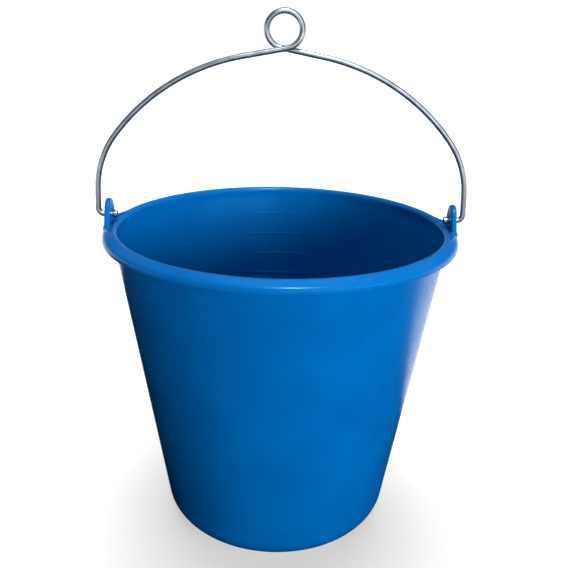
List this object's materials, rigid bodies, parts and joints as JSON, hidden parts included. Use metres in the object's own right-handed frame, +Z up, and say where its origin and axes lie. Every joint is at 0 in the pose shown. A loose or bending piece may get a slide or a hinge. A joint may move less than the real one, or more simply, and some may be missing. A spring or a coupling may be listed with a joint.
{
  "type": "feed bucket",
  "caption": "Tapered round plastic feed bucket with a rolled rim, two upright ears and a swinging wire bail that has a hanging eye at its crown.",
  "frame": {"origin": "centre of the base, on the floor that the standing ring rests on", "axes": "+Z up through the mouth; X along the bail's hinge line through both ears; +Y to the back, where the graduation marks are"},
  "size_m": [0.337, 0.32, 0.4787],
  "materials": {
    "moulding": "moulded blue polypropylene, satin gloss",
    "wire": "bright zinc plate on drawn wire"
  },
  "bodies": {
    "bucket": {"bucket": "moulding"},
    "bail": {"bail": "wire"}
  },
  "joints": [
    {"name": "bail_swing", "type": "hinge", "parent": "bucket", "child": "bail", "pos_m": [0, 0, 0.299], "axis": [1, 0, 0], "range_deg": [-90, 90]}
  ]
}
